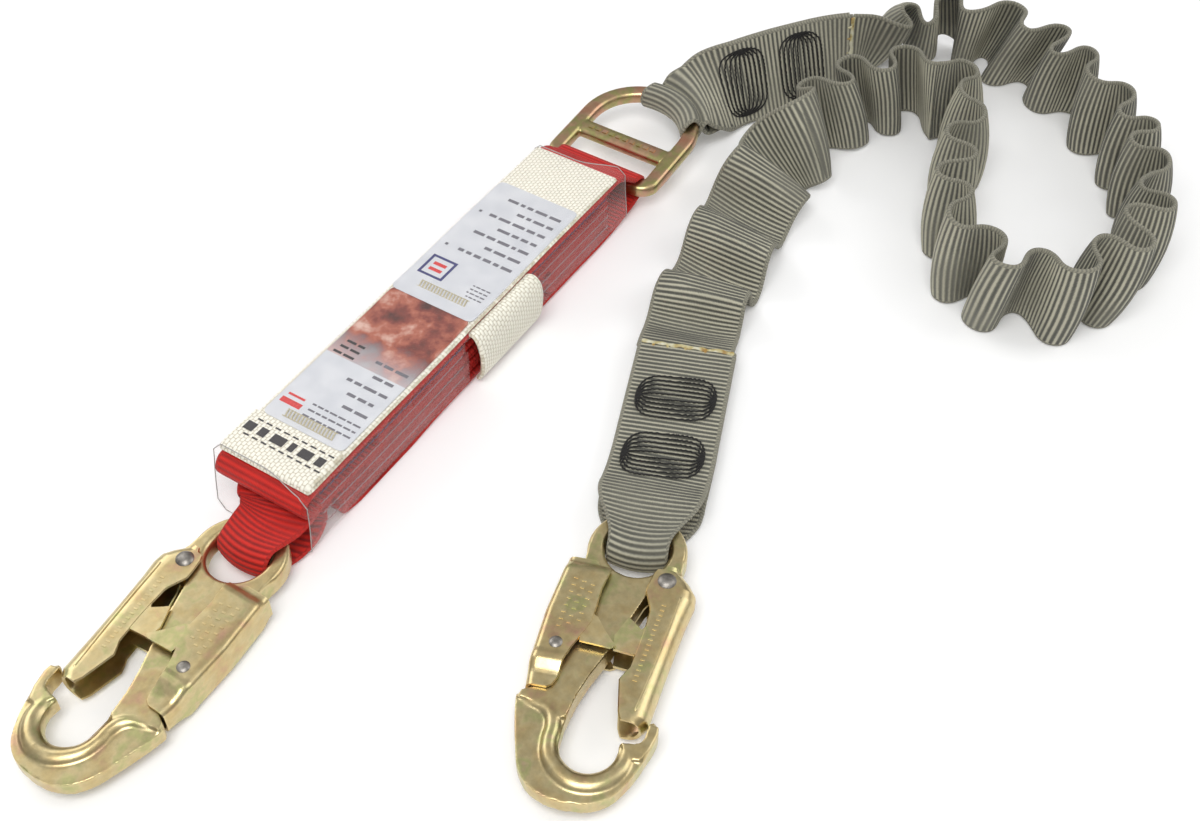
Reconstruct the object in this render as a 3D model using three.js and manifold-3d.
// Shock absorbing lanyard: a tear-web energy absorber in a clear sleeve, with a double-locking
// snap hook on one end and a D-ring on the other. A gathered elastic webbing leg runs from the
// D-ring to a second snap hook. Everything lies on a flat surface, as it would on a table.
// Millimetres, +Z up, +X along the absorber from its hook to its D-ring.

import * as THREE from "three";
import { mergeVertices } from "three/addons/utils/BufferGeometryUtils.js";
import Module from "manifold-3d";

const wasm = await Module();
wasm.setup();

// ---------------------------------------------------------------- driving dimensions

const GAP = 0.3;              // air left between two pieces that touch
const FLAT = Math.PI / 2;     // roll of a strap that lies flat

const absorber = {            // folded tear webbing with its cover webbing
  near: -13, width: 48, web: 2.2, top: 31.6, bottom: 0.9, slotLow: 12.2, slotHigh: 18.8,
  centreY: 0.5,
};
const sleeve = { near: -11, far: 238, halfWidth: 26, top: 36.8, wall: 0.7 };
const labelStrap = { near: -8, far: 232, width: 47, web: 2.3 };
const sideLoop = { start: 103, end: 149, web: 2.2, bulge: 4.4 };
const ring = {                // D-ring: slot bar, cross bar and bow
  slotX: 253, z: 13, tilt: 4, bar: 8, crossAt: 25, bowAt: 37.5, bowRadius: 29,
};
const hook = {
  midZ: 9.7, eyeRadius: 13.5, eyeOuter: 21, plate: 10, flange: 7, bead: 5.7,
  gatePivot: [15.2, -15], gateIn: 5.3, gateOut: 6.7,
  lockPivot: [-22.3, -54], lockIn: 7, lockOut: 8.5,
};
const hookPlaces = [          // eye centre, direction from nose to eye, and which face is up
  { name: "hook_1", x: -37.3, y: -7, turn: -1.7, flip: true },
  { name: "hook_2", x: 53.8, y: -145.4, turn: 20.5, flip: false },
];
const eyeLoop = { width: 13, web: 2.4, inner: 6.5 };
const leg = {
  width: 45, web: 2.4, thick: 13, coreWidth: 32, coreThick: 3.6, wall: 2, loopWidth: 20, loopInner: 6.6,
};

// Route of the elastic leg's middle line, from the D-ring end to the hook end: x, y, z and the
// roll in degrees, where 0 stands on its edge and -90 lies flat.
const legRoute = [
  [406, -68, 23.2, 6], [421, -75.5, 23.2, -22], [437, -82, 23.2, -34], [452, -97, 23.2, -28],
  [459, -115, 23.2, -10], [459, -134, 23.2, 0], [449, -164, 23.2, 0], [434, -194, 23.2, 0],
  [411, -222, 23.2, 0], [383, -243, 23.2, 0], [354, -255, 23.2, 0], [326, -259, 23.2, 0],
  [300, -252, 23.2, 0], [281, -237, 23.2, 0], [273, -214, 23.2, 0], [282, -190, 23.2, 0],
  [309, -170, 23.2, 0], [339, -160, 23.2, 0], [366, -154, 23.2, 0], [388, -144, 23.2, 0],
  [398, -127, 23.2, 0], [391, -109, 23.2, 0], [373, -94, 23.2, -4], [348, -85, 23, -14],
  [320, -81, 22, -34], [292, -79, 18, -62], [263, -81, 13.5, -84], [229, -87, 11.5, -90],
  [195, -93, 10.6, -90], [165.5, -102.4, 10, -90],
];

// ---------------------------------------------------------------- solids and sweeps

function asSolid(geometry) {
  const bare = geometry.clone();
  bare.deleteAttribute("normal");
  bare.deleteAttribute("uv");
  const merged = mergeVertices(bare, 1e-4);
  return new wasm.Manifold(new wasm.Mesh({
    numProp: 3,
    vertProperties: new Float32Array(merged.attributes.position.array),
    triVerts: new Uint32Array(merged.index.array),
  }));
}

function asGeometry(solid) {
  const mesh = solid.getMesh();
  const geometry = new THREE.BufferGeometry();
  geometry.setAttribute("position", new THREE.BufferAttribute(mesh.vertProperties, 3));
  geometry.setIndex(new THREE.BufferAttribute(mesh.triVerts, 1));
  geometry.computeVertexNormals();
  return geometry;
}

const cut = (a, ...others) => others.reduce((solid, b) => solid.subtract(b), a);
const join = (a, ...others) => others.reduce((solid, b) => solid.add(b), a);

// A flat outline in X and Y, given thickness from z0 to z1.
function plate(shape, z0, z1, curveSegments = 5) {
  const geometry = new THREE.ExtrudeGeometry(shape, { depth: z1 - z0, bevelEnabled: false, curveSegments });
  return asSolid(geometry.translate(0, 0, z0));
}

function outline(points) {
  return new THREE.Shape(points.map(([x, y]) => new THREE.Vector2(x, y)));
}

function cylinder(x, y, radius, z0, z1, sides = 16) {
  const geometry = new THREE.CylinderGeometry(radius, radius, z1 - z0, sides);
  return asSolid(geometry.rotateX(Math.PI / 2).translate(x, y, (z0 + z1) / 2));
}

function box(x0, x1, y0, y1, z0, z1) {
  const geometry = new THREE.BoxGeometry(x1 - x0, y1 - y0, z1 - z0);
  return asSolid(geometry.translate((x0 + x1) / 2, (y0 + y1) / 2, (z0 + z1) / 2));
}

// A closed loft through rings of points, capped at both ends; each ring has the same number of
// points, turning clockwise when seen from the start of the loft.
function loft(rings) {
  const sides = rings[0].length;
  const position = rings.flat().flatMap((p) => [p.x, p.y, p.z]);
  const index = [];
  for (let i = 0; i + 1 < rings.length; i += 1) {
    for (let j = 0; j < sides; j += 1) {
      const k = (j + 1) % sides;
      const a = i * sides + j;
      const b = i * sides + k;
      index.push(a, b, a + sides, b, b + sides, a + sides);
    }
  }
  const last = (rings.length - 1) * sides;
  for (let j = 1; j + 1 < sides; j += 1) {
    index.push(0, j + 1, j);
    index.push(last, last + j, last + j + 1);
  }
  const geometry = new THREE.BufferGeometry();
  geometry.setAttribute("position", new THREE.BufferAttribute(new Float32Array(position), 3));
  geometry.setIndex(index);
  geometry.computeVertexNormals();
  return geometry;
}

// A strap swept along stations {p, w, width}: p is its middle, w the direction of its width.
// Its section is a rectangle with small corners cut off.
function strap(stations, thick, widen = 0) {
  const rings = stations.map((station, i) => {
    const before = stations[Math.max(i - 1, 0)].p;
    const after = stations[Math.min(i + 1, stations.length - 1)].p;
    const along = after.clone().sub(before).normalize();
    const normal = new THREE.Vector3().crossVectors(along, station.w).normalize();
    const across = new THREE.Vector3().crossVectors(normal, along).normalize();
    const a = station.width / 2 + widen;
    const b = thick / 2;
    const c = b * 0.45;
    const section = [
      [a - c, -b], [a, c - b], [a, b - c], [a - c, b], [c - a, b], [-a, b - c], [-a, c - b], [c - a, -b],
    ];
    return section.map(([s, t]) => station.p.clone().addScaledVector(across, s).addScaledVector(normal, t));
  });
  return loft(rings);
}

const v = (x, y, z) => new THREE.Vector3(x, y, z);
const lerp = THREE.MathUtils.lerp;
const smooth = (x, from, to) => THREE.MathUtils.smoothstep(x, from, to);

// Half a turn about a centre in the X-Z plane, from an angle through 180 degrees.
function halfTurn(x, z, radius, from, sign, steps = 8) {
  return Array.from({ length: steps + 1 }, (_, i) => {
    const angle = from + sign * Math.PI * i / steps;
    return [x + radius * Math.cos(angle), z + radius * Math.sin(angle)];
  });
}

// A strap of one width whose middle line lies in the X-Z plane.
function flatStrap(points, width, thick, y = absorber.centreY) {
  return strap(points.map(([x, z]) => ({ p: v(x, y, z), w: v(0, 1, 0), width })), thick);
}

const paint = {
  plated: { color: 0xc9b478, roughness: 0.35, metalness: 0.9 },
  plated_ring: { color: 0xcaa27c, roughness: 0.35, metalness: 0.9 },
  steel: { color: 0x9a9a98, roughness: 0.4, metalness: 0.9 },
  red: { color: 0xc81414, roughness: 0.8, metalness: 0 },
  ivory: { color: 0xe9e2cd, roughness: 0.9, metalness: 0 },
  grey: { color: 0x8f8d80, roughness: 0.9, metalness: 0 },
  label: { color: 0xe6e8ea, roughness: 0.5, metalness: 0 },
  black: { color: 0x1c1a18, roughness: 0.9, metalness: 0 },
  glue: { color: 0xb9a86a, roughness: 0.5, metalness: 0 },
  rubber: { color: 0xd8d2c0, roughness: 0.8, metalness: 0 },
  clear: { color: 0xdfe3e6, roughness: 0.2, metalness: 0, transparent: true, opacity: 0.35 },
};

const lanyard = new THREE.Group();

function addPiece(name, geometry, finish, parent = lanyard) {
  const mesh = new THREE.Mesh(geometry, new THREE.MeshStandardMaterial(paint[finish]));
  mesh.name = name;
  parent.add(mesh);
  return mesh;
}

// ---------------------------------------------------------------- snap hook
// Local frame: origin in the eye's centre, +Y away from the nose, +X towards the gate, and the
// forging's middle plane at z = 0.

function hookBody() {
  const spine = outline([
    [-20, 2], [-20, -14], [-20.5, -30], [-25.5, -44], [-27, -54], [-26, -64], [-26.5, -75.2],
    [-30, -76.5], [-27, -82],
    [-12, -84], [-10, -73.5], [-6.5, -63.5], [-1, -50], [4, -35], [8, -21],
    [11, -21.2], [15.2, -21.4], [19.6, -19.6], [21.4, -15], [20.4, -10], [20, 0],
  ]);
  const bow = new THREE.Shape();
  bow.moveTo(-33, -77);
  bow.quadraticCurveTo(-31.5, -88, -27.6, -101);
  bow.bezierCurveTo(-24, -112, -14, -118.5, -3, -118.5);
  bow.bezierCurveTo(9, -118.5, 17, -110, 21, -98);
  bow.quadraticCurveTo(24.8, -88, 24.8, -82.5);
  bow.quadraticCurveTo(24.4, -78.6, 21.6, -78.3);
  bow.lineTo(20.2, -79.5);
  bow.lineTo(19.8, -86);
  bow.quadraticCurveTo(19, -89.6, 16, -89.8);
  bow.lineTo(11.3, -89.8);
  bow.absarc(-0.5, -93.8, 11.2, 0.34, -Math.PI, true);
  bow.quadraticCurveTo(-12.4, -82, -11.6, -78);
  bow.lineTo(-20, -75.5);
  const beadPath = new THREE.CatmullRomCurve3([
    [15.8, -95, 0], [13.5, -102, 0], [8, -108.4, 0], [0, -111, 0], [-8.6, -109, 0], [-14.8, -103, 0],
    [-17.2, -94, 0], [-18, -86, 0], [-22, -80.8, 0], [-27.5, -80.6, 0],
  ].map((p) => v(...p)));
  const round = new THREE.Shape();
  round.absarc(0, 0, hook.bead, 0, 2 * Math.PI);
  const bead = new THREE.ExtrudeGeometry(round, { extrudePath: beadPath, steps: 20, curveSegments: 5 });
  const half = hook.plate / 2;
  const chamfer = 1.5;
  const eye = new THREE.LatheGeometry([
    [hook.eyeRadius, -half + chamfer], [hook.eyeRadius + chamfer, -half], [hook.eyeOuter - chamfer, -half],
    [hook.eyeOuter, -half + chamfer], [hook.eyeOuter, half - chamfer], [hook.eyeOuter - chamfer, half],
    [hook.eyeRadius + chamfer, half], [hook.eyeRadius, half - chamfer], [hook.eyeRadius, -half + chamfer],
  ].map(([r, z]) => new THREE.Vector2(r, z)), 32).rotateX(Math.PI / 2);
  const solid = join(
    plate(spine, -half, half), plate(bow, -hook.flange / 2, hook.flange / 2), asSolid(bead),
  );
  const bored = cut(solid, cylinder(0, 0, hook.eyeRadius + chamfer, -9, 9, 32));
  return cut(
    join(bored, asSolid(eye)),
    cylinder(...hook.gatePivot, 2.8, -9, 9), cylinder(...hook.lockPivot, 2.1, -9, 9),
  );
}

// A folded sheet channel: two flanges of one outline, with a web along its outer edge.
function channel(flange, web, zIn, zOut) {
  return join(plate(flange, zIn, zOut), plate(flange, -zOut, -zIn), plate(web, -zIn - 0.2, zIn + 0.2));
}

function hookGate() {
  const flange = outline([
    [10, -9.6], [13.5, -9.3], [14.4, -7.4], [20, -7.4], [24, -11.6], [27.4, -16], [28, -21], [26, -30],
    [19.4, -81], [9, -80.6], [5.6, -64.5], [8.5, -59], [10, -52.6], [0.4, -51.6], [-8.4, -38.8], [3.6, -35.6],
    [10, -40.4], [11.5, -31], [8, -21.5],
  ]);
  const web = outline([
    [22.2, -9.6], [24, -11.6], [27.4, -16], [28, -21], [26, -30], [19.3, -86], [17.7, -86],
    [24.4, -30], [26.3, -21], [25.8, -16.6], [22.6, -12],
  ]);
  return cut(
    channel(flange, web, hook.gateIn, hook.gateOut), cylinder(...hook.gatePivot, 2.8, -9, 9),
  );
}

function hookLock() {
  const flange = outline([
    [-26.5, -10.5], [-17.4, -11], [-12.5, -15.5], [-10.4, -26], [-10.6, -37.5], [0, -50.8], [-13.4, -51.6],
    [-16, -55], [-18, -62], [-19.5, -71.4], [-30, -73.4], [-31, -64], [-30, -39],
  ]);
  const web = outline([
    [-26.5, -10.5], [-24.9, -10.5], [-28.4, -39], [-29.4, -64], [-28.4, -73.1], [-30, -73.4],
    [-31, -64], [-30, -39],
  ]);
  return cut(
    channel(flange, web, hook.lockIn, hook.lockOut), cylinder(...hook.lockPivot, 2.1, -10, 10),
  );
}

// A rivet with two low domed heads outside the channel's flanges.
function rivet([x, y], shank, headRadius, zOut, rise) {
  const under = zOut + GAP;
  const dome = under + rise * 0.8;
  const profile = [
    [0, -under - rise], [headRadius * 0.6, -dome], [headRadius, -under], [shank, -under],
    [shank, under], [headRadius, under], [headRadius * 0.6, dome], [0, under + rise],
  ];
  const geometry = new THREE.LatheGeometry(profile.map(([r, z]) => new THREE.Vector2(r, z)), 12);
  return geometry.rotateX(Math.PI / 2).translate(x, y, 0);
}

// A leaf spring: a thin bent strip on its edge, seen along z as a line of points.
function leaf(points, halfHeight, thick) {
  const stations = points.map(([x, y]) => ({ p: v(x, y, 0), w: v(0, 0, 1), width: 2 * halfHeight }));
  return strap(stations, thick);
}

function addHook({ name, x, y, turn, flip }) {
  const group = new THREE.Group();
  const body = new THREE.Group();
  body.rotation.y = flip ? Math.PI : 0;
  group.position.set(x, y, hook.midZ);
  group.rotation.z = THREE.MathUtils.degToRad(turn - 90);
  group.add(body);
  lanyard.add(group);
  addPiece(`${name}_body`, asGeometry(hookBody()), "plated", body);
  addPiece(`${name}_gate`, asGeometry(hookGate()), "plated", body);
  addPiece(`${name}_lock_lever`, asGeometry(hookLock()), "plated", body);
  addPiece(`${name}_gate_rivet`, rivet(hook.gatePivot, 2.5, 4, hook.gateOut, 1.6), "steel", body);
  addPiece(`${name}_lock_rivet`, rivet(hook.lockPivot, 1.8, 2.8, hook.lockOut, 0.9), "steel", body);
  const gateSpring = [[13.4, -22.4], [10.4, -24.2], [8.2, -28], [6.2, -34.4], [4.7, -40], [6.8, -45]];
  addPiece(`${name}_gate_spring`, leaf(gateSpring, 3.2, 0.8), "plated", body);
  const lockSpring = [[-21.4, -20], [-21.4, -27], [-23, -35], [-24.8, -40.5]];
  addPiece(`${name}_lock_spring`, leaf(lockSpring, 3.2, 0.8), "plated", body);
}

hookPlaces.forEach(addHook);

// ---------------------------------------------------------------- webbing loops through the eyes
// The loop's side view, with u measured from the middle of the eye's far rim towards the strap,
// and h from the forging's middle plane. The loop is bunched narrow inside the eye.

function eyeLoopStations(place, reach, legs, drift = 0) {
  const rim = (hook.eyeRadius + hook.eyeOuter) / 2;
  const radius = eyeLoop.inner + eyeLoop.web / 2;
  const turn = THREE.MathUtils.degToRad(place.turn);
  const along = v(Math.cos(turn), Math.sin(turn), 0);
  const side = v(-Math.sin(turn), Math.cos(turn), 0);
  const fold = halfTurn(-reach + radius, 0, radius, Math.PI / 2, 1, 10);
  const points = [...legs.upper, ...fold.map(([u, h]) => [u, h, eyeLoop.width]), ...legs.lower];
  const origin = v(place.x, place.y, hook.midZ).addScaledVector(along, rim);
  return points.map(([u, h, width]) => ({
    p: origin.clone().addScaledVector(along, u).addScaledVector(side, drift * smooth(u, 6, 28)).add(v(0, 0, h)),
    w: side, width,
  }));
}

const legHigh = eyeLoop.inner + eyeLoop.web / 2;
const slotMiddle = (absorber.slotLow + absorber.slotHigh) / 2 - hook.midZ;
addPiece("red_hook_loop", strap(eyeLoopStations(hookPlaces[0], 20, {
  upper: [
    [66, slotMiddle + 1.5, 44], [30, slotMiddle + 1.5, 44], [17, slotMiddle + 2, 40],
    [8, legHigh - 0.1, eyeLoop.width], [0, legHigh, eyeLoop.width],
  ],
  lower: [
    [0, -legHigh, eyeLoop.width], [8, -legHigh + 0.4, eyeLoop.width], [14, -4.6, 24], [19, 0.6, 36],
    [26, slotMiddle - 1.2, 44], [31, slotMiddle - 1.5, 44], [66, slotMiddle - 1.5, 44],
  ],
}, absorber.centreY - hookPlaces[0].y + 1), eyeLoop.web), "red");

// ---------------------------------------------------------------- energy absorber

function addAbsorber() {
  const a = absorber;
  const half = a.web / 2;
  // Outer web: round the D-ring's slot bar, over the pack's top and round its near end.
  const barRadius = ring.bar / 2 + 2 + half;
  const topLine = a.top - half;
  const foldRadius = (topLine - (a.slotHigh + half)) / 2;
  const nearTurn = halfTurn(a.near + half + foldRadius, topLine - foldRadius, foldRadius, Math.PI / 2, 1, 10);
  const barTurn = halfTurn(ring.slotX, ring.z, barRadius, -Math.PI / 2, 1, 10);
  addPiece("red_outer_web", flatStrap([
    [170, a.bottom + half], [226, a.bottom + half], [238, a.bottom + half + 1.6], ...barTurn.slice(0, 10),
    [251, ring.z + barRadius + 0.6], [246, 23], [240, 28], [234, topLine - 0.3], [226, topLine], [20, topLine],
    ...nearTurn, [40, a.slotHigh + half],
  ], a.width, a.web), "red");
  // Zigzag folds of the tear webbing, in two stacks with the loop's slot between them.
  const zigzag = (x0, x1, z0, runs, pitch) => {
    const line = [[x1, z0]];
    for (let i = 0; i + 1 < runs; i += 1) {
      const z = z0 + (i + 0.5) * pitch;
      const leftEnd = i % 2 === 0;
      const start = leftEnd ? [x0, -Math.PI / 2, -1] : [x1, -Math.PI / 2, 1];
      line.push(...halfTurn(start[0], z, pitch / 2, start[1], start[2], 6));
    }
    line.push([runs % 2 === 0 ? x1 : x0, z0 + (runs - 1) * pitch]);
    return line;
  };
  addPiece("tear_web_lower", flatStrap(zigzag(12, 164, 2.2, 4, 2.9), a.width - 1, 2.4), "red");
  addPiece("tear_web_upper", flatStrap(zigzag(46, 222, 19.8, 4, 2.75), a.width - 1, 2.3), "red");
  // Rear fold of the tear webbing, stacked between the outer web's two legs.
  addPiece("tear_web_rear", flatStrap(zigzag(172, 222, 4.8, 5, 2.9), a.width - 1, 2.4), "red");
}
addAbsorber();

function addLabels() {
  const a = absorber;
  const s = labelStrap;
  const low = a.top + GAP + s.web / 2;
  const high = low + s.web + 0.2;
  const fold = halfTurn(s.near + s.web, (low + high) / 2, (high - low) / 2, -Math.PI / 2, -1, 6);
  addPiece("label_strap", flatStrap([[s.far, low], ...fold, [14, high]], s.width, s.web), "ivory");
  // Side loop: a pull tab that stands out of the sleeve's side opening.
  const y0 = a.centreY - a.width / 2 - GAP;
  const across = [[0, 30.6], [0.1, 26], [0.84, 21], [1, 15], [0.84, 9], [0.2, 4.6], [0, 2.4]];
  const wall = across.map(([out, z]) => ({
    p: v((sideLoop.start + sideLoop.end) / 2, y0 - sideLoop.web / 2 - out * sideLoop.bulge, z),
    w: v(1, 0, 0), width: sideLoop.end - sideLoop.start,
  }));
  addPiece("side_loop", strap(wall, sideLoop.web), "ivory");
  const face = low + s.web / 2 + GAP;
  const label = (x0, x1, z, width) => {
    return asGeometry(box(x0, x1, a.centreY - width / 2, a.centreY + width / 2, z, z + 0.4));
  };
  addPiece("lower_label", label(17, 108, face, 45), "label");
  addPiece("upper_label", label(110, 199, face, 47), "label");
  const tack = (x) => box(x, x + 1.6, a.centreY - 14, a.centreY + 12, face + 0.7, face + 1.2);
  addPiece("label_stitches_lower", asGeometry(tack(20)), "ivory");
  addPiece("label_stitches_upper", asGeometry(tack(114)), "ivory");
}
addLabels();

function addSleeve() {
  const a = absorber;
  const s = sleeve;
  const rectangle = (halfWidth, low, high, corner) => {
    const shape = new THREE.Shape();
    shape.moveTo(-halfWidth + corner, low);
    shape.lineTo(halfWidth - corner, low);
    shape.absarc(halfWidth - corner, low + corner, corner, -Math.PI / 2, 0);
    shape.absarc(halfWidth - corner, high - corner, corner, 0, Math.PI / 2);
    shape.absarc(-halfWidth + corner, high - corner, corner, Math.PI / 2, Math.PI);
    shape.absarc(-halfWidth + corner, low + corner, corner, Math.PI, 1.5 * Math.PI);
    return shape;
  };
  const tube = (shape) => {
    const along = { depth: s.far - s.near, bevelEnabled: false, curveSegments: 3 };
    const geometry = new THREE.ExtrudeGeometry(shape, along);
    geometry.rotateX(Math.PI / 2).rotateZ(Math.PI / 2).translate(s.near, a.centreY, 0);
    return asSolid(geometry);
  };
  const outer = tube(rectangle(s.halfWidth, 0, s.top + s.wall, 1.2));
  const inner = tube(rectangle(s.halfWidth - s.wall, 0.6, s.top, 0.7));
  const longer = inner.add(inner.translate([-20, 0, 0])).add(inner.translate([20, 0, 0]));
  const edge = a.centreY - s.halfWidth;
  const opening = box(sideLoop.start - 1, sideLoop.end + 1, edge - 1, edge + 2, 1.3, 31.4);
  addPiece("clear_sleeve", asGeometry(cut(outer, longer, opening)), "clear");
}
addSleeve();

// ---------------------------------------------------------------- D-ring

function addRing() {
  const r = ring;
  const side = r.bowRadius;
  const bar = (points) => {
    return asSolid(strap(points.map(([x, y]) => ({ p: v(x, y, 0), w: v(0, 0, 1), width: r.bar })), r.bar));
  };
  const corner = [[0, -side + 5], [1.5, -side + 1.5], [5, -side]];
  const bow = Array.from({ length: 17 }, (_, i) => {
    const angle = -Math.PI / 2 + Math.PI * i / 16;
    return [r.bowAt + side * Math.cos(angle), side * Math.sin(angle)];
  });
  const farCorner = corner.map(([x, y]) => [x, -y]).reverse();
  const solid = join(
    bar([[0, -1], ...corner, ...bow, ...farCorner, [0, 1]]), bar([[0, -3], [0, 3]]),
    bar([[r.crossAt, -side], [r.crossAt, side]]),
  );
  const mesh = addPiece("d_ring", asGeometry(solid), "plated_ring");
  mesh.position.set(r.slotX, absorber.centreY, r.z);
  mesh.rotation.y = -THREE.MathUtils.degToRad(r.tilt);
}
addRing();

// ---------------------------------------------------------------- elastic leg

// Stations along a route of [x, y, z, roll]: the roll leans the strap's upper edge to its left.
function routeStations(route, steps, width) {
  const line = new THREE.CatmullRomCurve3(route.map(([x, y, z]) => v(x, y, z)), false, "centripetal");
  const rolls = new THREE.CatmullRomCurve3(route.map(([, , , roll], i) => v(roll, i, 0)), false, "centripetal");
  return Array.from({ length: steps + 1 }, (_, i) => {
    const t = i / steps;
    const along = line.getTangent(t);
    const left = v(-along.y, along.x, 0).normalize();
    const roll = THREE.MathUtils.degToRad(rolls.getPoint(t).x);
    const w = left.multiplyScalar(Math.sin(roll)).add(v(0, 0, Math.cos(roll)));
    return { p: line.getPoint(t), w, width };
  });
}

// A racetrack of thread rows, as one thin ring lying against a strap's face. Its long side runs
// across the strap.
function stitchRing(centre, across, along) {
  const racetrack = (path, length, radius) => {
    path.absarc(length / 2, 0, radius, -Math.PI / 2, Math.PI / 2);
    path.absarc(-length / 2, 0, radius, Math.PI / 2, 1.5 * Math.PI);
    return path;
  };
  const shape = racetrack(new THREE.Shape(), 16, 9.5);
  shape.holes.push(racetrack(new THREE.Path(), 16, 3));
  const geometry = new THREE.ExtrudeGeometry(shape, { depth: 0.5, bevelEnabled: false, curveSegments: 5 });
  const normal = new THREE.Vector3().crossVectors(across, along);
  geometry.translate(0, 0, -0.25);
  return geometry.applyMatrix4(new THREE.Matrix4().makeBasis(across, along, normal).setPosition(centre));
}

function addLeg() {
  const stations = routeStations(legRoute, 60, leg.width);
  const outer = asSolid(strap(stations, leg.thick));
  const stretch = (list) => {
    const first = list[0];
    const last = list[list.length - 1];
    const before = { ...first, p: first.p.clone().add(first.p.clone().sub(list[1].p)) };
    const after = { ...last, p: last.p.clone().add(last.p.clone().sub(list[list.length - 2].p)) };
    return [before, ...list, after];
  };
  const hollow = asSolid(strap(stretch(stations.map((s) => ({ ...s, width: leg.width - 2 * leg.wall }))),
    leg.thick - 2 * leg.wall));
  addPiece("gathered_webbing", asGeometry(cut(outer, hollow)), "grey");
  const coreStations = stations.map((s) => ({ ...s, width: leg.coreWidth }));
  addPiece("elastic_core", strap(coreStations, leg.coreThick), "rubber");

  // Sewn end at the hook: flat, two layers, round the eye's far rim.
  const place = hookPlaces[1];
  const end = stations[stations.length - 1];
  const hookEnd = eyeLoopStations(place, 24, {
    upper: [[8, legHigh, eyeLoop.width], [0, legHigh, eyeLoop.width]],
    lower: [[0, -legHigh, eyeLoop.width], [8, -legHigh + 0.2, eyeLoop.width]],
  });
  const half = leg.web / 2 + 0.2;
  const tail = end.p.clone().sub(hookEnd[0].p).setZ(0);
  const length = tail.length() - 1.6;
  const along = tail.normalize();
  const side = v(-along.y, along.x, 0);
  const layer = (sign) => [[22, 4.4, 40], [38, 1.7, leg.width], [70, half, leg.width], [length, half, leg.width]]
    .map(([u, h, width]) => ({
      p: hookEnd[0].p.clone().setZ(lerp(hook.midZ, end.p.z, smooth(u, 0, 60)) + sign * h).addScaledVector(along, u),
      w: side, width,
    }));
  const hookSewn = [...layer(1).reverse(), ...hookEnd, ...layer(-1)];
  addPiece("sewn_end_hook", strap(hookSewn, leg.web), "grey");
  [49, 71].forEach((u, i) => {
    const z = lerp(hook.midZ, end.p.z, smooth(u, 0, 60)) + half + leg.web / 2 + 1.4;
    const centre = hookEnd[0].p.clone().addScaledVector(along, u).setZ(z);
    addPiece(`hook_end_stitches_${i + 1}`, stitchRing(centre, side, along), "black");
  });

  // Sewn end at the D-ring: two layers standing on edge, twisting flat where they take the bow.
  const arc = THREE.MathUtils.degToRad(-24);
  const tilt = THREE.MathUtils.degToRad(ring.tilt);
  const bowZ = ring.z + Math.sin(tilt) * (ring.bowAt + ring.bowRadius * Math.cos(arc));
  const bar = v(
    ring.slotX + ring.bowAt * Math.cos(tilt) + ring.bowRadius * Math.cos(arc),
    absorber.centreY + ring.bowRadius * Math.sin(arc), bowZ,
  );
  const start = stations[0];
  const pull = v(Math.cos(arc), Math.sin(arc), 0);
  const spread = leg.loopInner + leg.web / 2;
  const barLoop = halfTurn(0, 0, spread, Math.PI / 2, 1, 10).map(([u, h]) => ({
    p: bar.clone().addScaledVector(pull, u).add(v(0, 0, h)), w: v(-pull.y, pull.x, 0), width: leg.loopWidth,
  }));
  const middle = new THREE.CatmullRomCurve3([bar, v(336, -21, 19.5), v(365, -40, 22.6), v(385, -54, 23),
    start.p.clone().add(start.p.clone().sub(stations[1].p).setLength(1.6))], false, "centripetal");
  const pair = (sign) => Array.from({ length: 19 }, (_, i) => {
    const t = 0.14 + 0.86 * i / 18;
    const tangent = middle.getTangent(t);
    const left = v(-tangent.y, tangent.x, 0).normalize();
    const roll = lerp(FLAT, THREE.MathUtils.degToRad(22), smooth(t, 0.08, 0.55)) * (1 - 0.7 * smooth(t, 0.7, 1));
    const w = left.clone().multiplyScalar(Math.sin(roll)).add(v(0, 0, Math.cos(roll)));
    const normal = new THREE.Vector3().crossVectors(tangent, w).normalize();
    const apart = lerp(spread, half + 0.3, smooth(t, 0.05, 0.5));
    return {
      p: middle.getPoint(t).addScaledVector(normal, -sign * apart), w,
      width: lerp(leg.loopWidth, leg.width, smooth(t, 0.1, 0.42)),
    };
  });
  addPiece("sewn_end_ring", strap([...pair(-1).reverse(), ...barLoop, ...pair(1)], leg.web), "grey");
  [0.58, 0.82].forEach((t, i) => {
    const tangent = middle.getTangent(t);
    const left = v(-tangent.y, tangent.x, 0).normalize();
    const roll = THREE.MathUtils.degToRad(22) * (1 - 0.7 * smooth(t, 0.7, 1));
    const w = left.multiplyScalar(Math.sin(roll)).add(v(0, 0, Math.cos(roll)));
    const normal = new THREE.Vector3().crossVectors(tangent, w).normalize();
    const centre = middle.getPoint(t).addScaledVector(normal, half + leg.web / 2 + 2.6);
    addPiece(`ring_end_stitches_${i + 1}`, stitchRing(centre, w, tangent), "black");
  });
}
addLeg();

// ---------------------------------------------------------------- origin
// The origin is on the surface the lanyard lies on, under the middle of the box around the
// absorber, the D-ring and the two hooks.

const onLeg = /^(gathered|elastic|sewn|hook_end|ring_end)_/;
lanyard.updateMatrixWorld(true);
const around = new THREE.Box3();
lanyard.traverse((piece) => {
  if (piece.isMesh && !onLeg.test(piece.name)) around.expandByObject(piece, true);
});
const middle = around.getCenter(new THREE.Vector3());
lanyard.position.set(-middle.x, -middle.y, -around.min.z);

export default lanyard;
